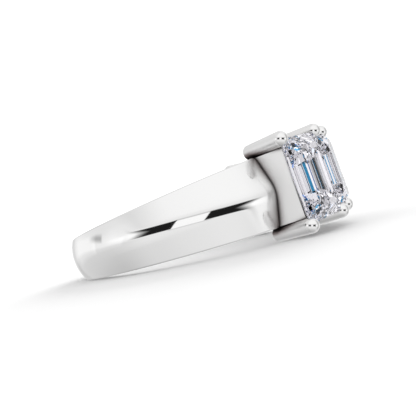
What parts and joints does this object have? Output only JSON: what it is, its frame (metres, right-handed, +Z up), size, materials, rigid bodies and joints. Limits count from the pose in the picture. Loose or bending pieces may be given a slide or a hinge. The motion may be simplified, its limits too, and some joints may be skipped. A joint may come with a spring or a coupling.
{
  "type": "half eternity ring",
  "caption": "Half eternity ring lying on its side: polished white-metal band that widens to a row of step-cut clear stones held by shared round prongs.",
  "frame": {"origin": "middle of the ring's footprint on the surface that it lies on", "axes": "+Z up from the surface, +X towards the middle of the row of stones; the finger axis leans 7.6 degrees from +Z towards -X, as the ring leans by itself on its wider setting"},
  "size_m": [0.023, 0.021, 0.0081],
  "materials": {
    "mount": "mirror polish",
    "stone": "polished facets"
  },
  "bodies": {
    "root": {"mount": "mount", "stone_1": "stone", "stone_2": "stone", "stone_3": "stone", "stone_4": "stone", "stone_5": "stone"}
  },
  "joints": []
}
